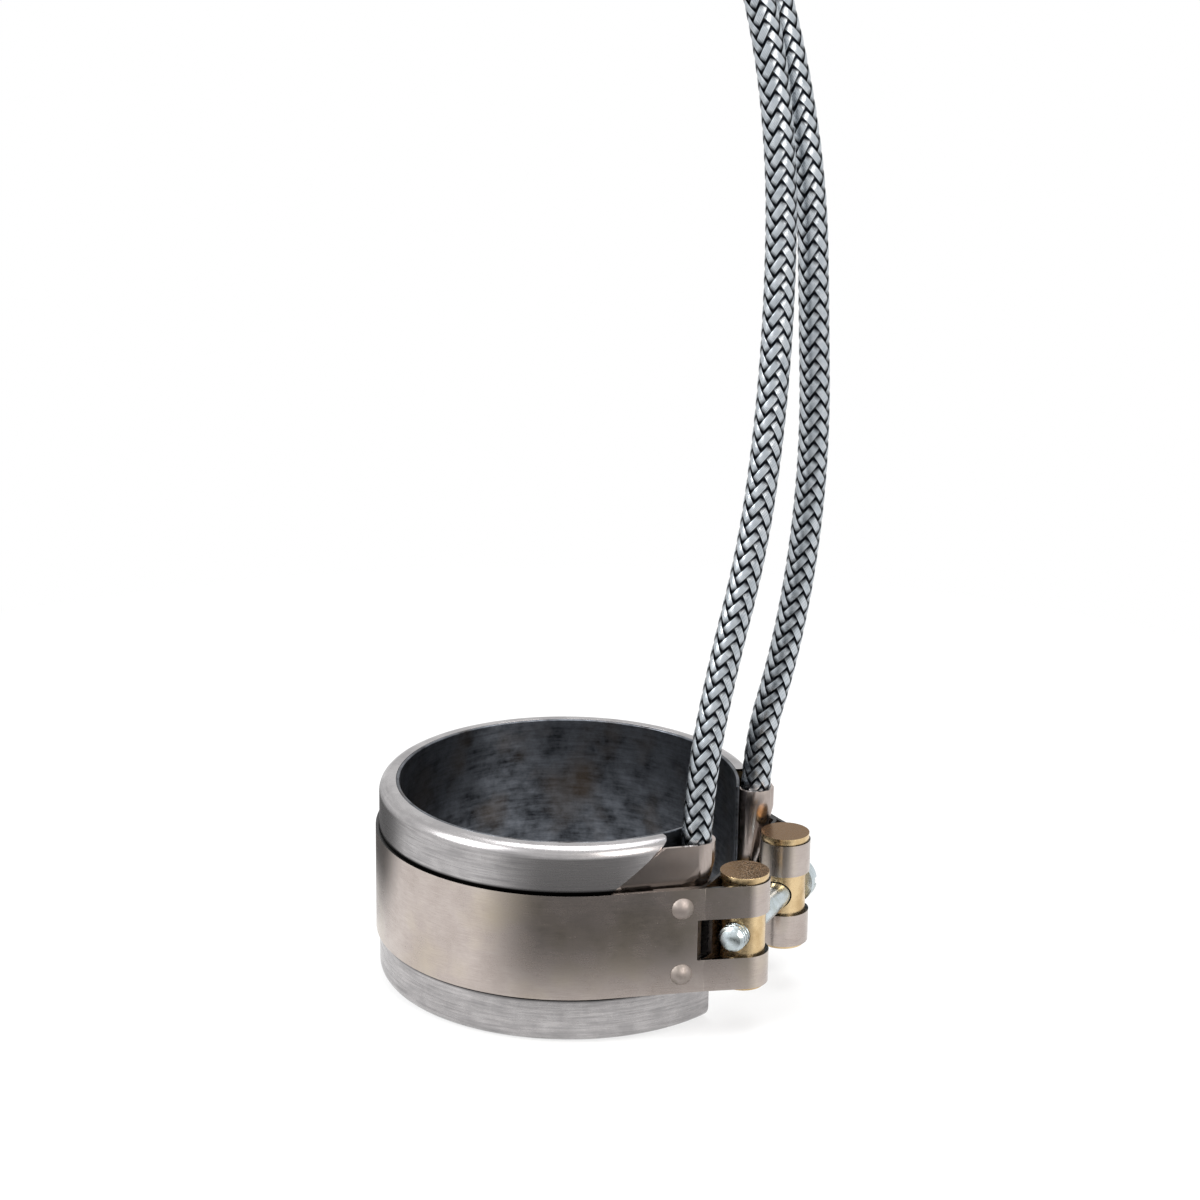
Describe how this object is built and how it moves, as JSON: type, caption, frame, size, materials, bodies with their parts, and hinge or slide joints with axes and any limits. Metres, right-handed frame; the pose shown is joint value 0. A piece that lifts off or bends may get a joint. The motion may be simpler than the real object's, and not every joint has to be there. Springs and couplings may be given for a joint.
{
  "type": "nozzle band heater",
  "caption": "Round clamp-on band heater for a moulding-machine nozzle: steel-sheathed split ring, pinned strap clamp with screw, and metal-braided leads out of hoods.",
  "frame": {"origin": "on the nozzle bore's axis, half way along its width", "axes": "+Z along the bore towards the side where the leads come out, +X from the bore axis through the middle of the ring's gap and its clamp, +Y towards the screw's head"},
  "size_m": [0.0961, 0.0634, 0.1917],
  "materials": {
    "sheath_steel": "annealed satin stainless strip",
    "liner_steel": "mottled heat-tinted stainless strip",
    "strap_steel": "satin stainless strip, warm grey",
    "hood_steel": "pressed stainless sheet, satin",
    "rivet_steel": "satin stainless",
    "yellow_zinc": "yellow-passivated zinc on turned steel",
    "clear_zinc": "blue-clear passivated zinc on steel",
    "mica": "mica sheet, matte",
    "resistance_alloy": "oxidised nickel-chrome ribbon",
    "nickel": "nickel-plated, satin",
    "steatite": "unglazed electrical ceramic",
    "braid_steel": "woven bright steel wire",
    "ferrule_steel": "satin stainless tube, crimped",
    "glass_sleeving": "varnished glass-fibre sleeving"
  },
  "bodies": {
    "heater": {"backing_insulation": "mica", "clamp_strap": "strap_steel", "contact_insulation": "mica", "front_barrel_nut": "yellow_zinc", "front_crimp": "nickel", "front_end_cap": "sheath_steel", "front_lead_braid": "braid_steel", "front_lead_conductor": "nickel", "front_lead_cover": "hood_steel", "front_lead_ferrule": "ferrule_steel", "front_lead_wire": "glass_sleeving", "front_rivets": "rivet_steel", "front_terminal_bush": "steatite", "front_terminal_pin": "nickel", "heating_element": "resistance_alloy", "inner_sheath": "liner_steel", "outer_sheath": "sheath_steel", "rear_barrel_pin": "yellow_zinc", "rear_crimp": "nickel", "rear_end_cap": "sheath_steel", "rear_lead_braid": "braid_steel", "rear_lead_conductor": "nickel", "rear_lead_cover": "hood_steel", "rear_lead_ferrule": "ferrule_steel", "rear_lead_wire": "glass_sleeving", "rear_rivets": "rivet_steel", "rear_terminal_bush": "steatite", "rear_terminal_pin": "nickel"},
    "clamp_screw": {"clamp_screw": "clear_zinc"}
  },
  "joints": [
    {"name": "clamp_screw_turn", "type": "hinge", "parent": "heater", "child": "clamp_screw", "pos_m": [0.0316, 0, 0], "axis": [0, -1, 0], "continuous": true}
  ]
}
